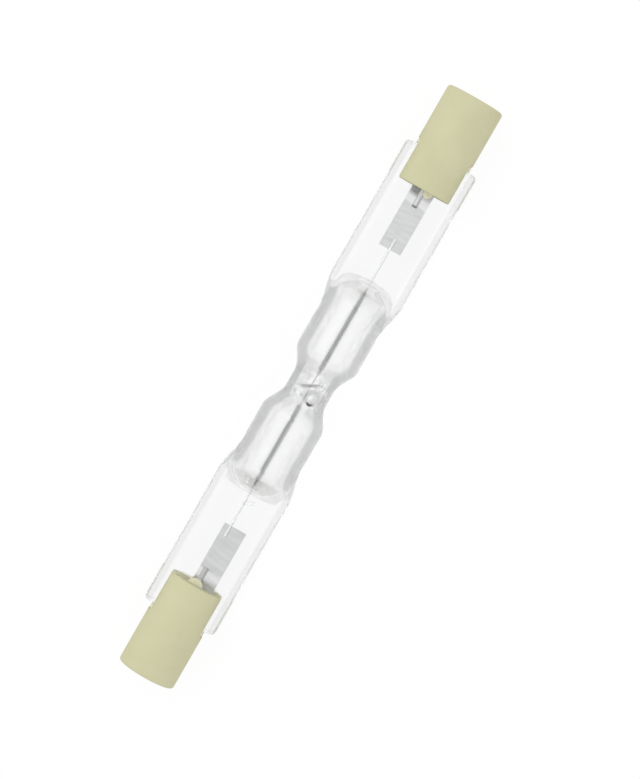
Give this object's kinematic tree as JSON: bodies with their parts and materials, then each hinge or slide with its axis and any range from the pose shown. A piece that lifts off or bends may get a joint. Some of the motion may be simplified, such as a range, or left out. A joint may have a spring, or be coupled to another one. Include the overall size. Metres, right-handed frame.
{
  "type": "linear halogen bulb",
  "caption": "Double-ended linear halogen bulb: waisted quartz tube with a coiled filament, flat pinch seals and slotted ceramic caps.",
  "frame": {"origin": "on the lamp's axis, midway between its two contact faces", "axes": "+X along the lamp, towards the right end; +Z square to the flat pinch seals, on the side of the exhaust tip; +Y across the pinch seals"},
  "size_m": [0.0782, 0.0094, 0.008],
  "materials": {
    "quartz": "clear fused quartz, fire polished",
    "ceramic": "unglazed cream steatite, matt",
    "cement": "matt, grainy",
    "foil": "rolled molybdenum foil, satin",
    "lead": "drawn molybdenum wire, satin",
    "filament": "coiled tungsten wire, satin",
    "contact": "nickel plated, satin"
  },
  "bodies": {
    "root": {"quartz_envelope": "quartz", "filament": "filament", "filament_support": "lead", "ceramic_cap_left": "ceramic", "contact_left": "contact", "cement_left": "cement", "foil_left": "foil", "inner_lead_left": "lead", "outer_lead_left": "lead", "ceramic_cap_right": "ceramic", "contact_right": "contact", "cement_right": "cement", "foil_right": "foil", "inner_lead_right": "lead", "outer_lead_right": "lead"}
  },
  "joints": []
}
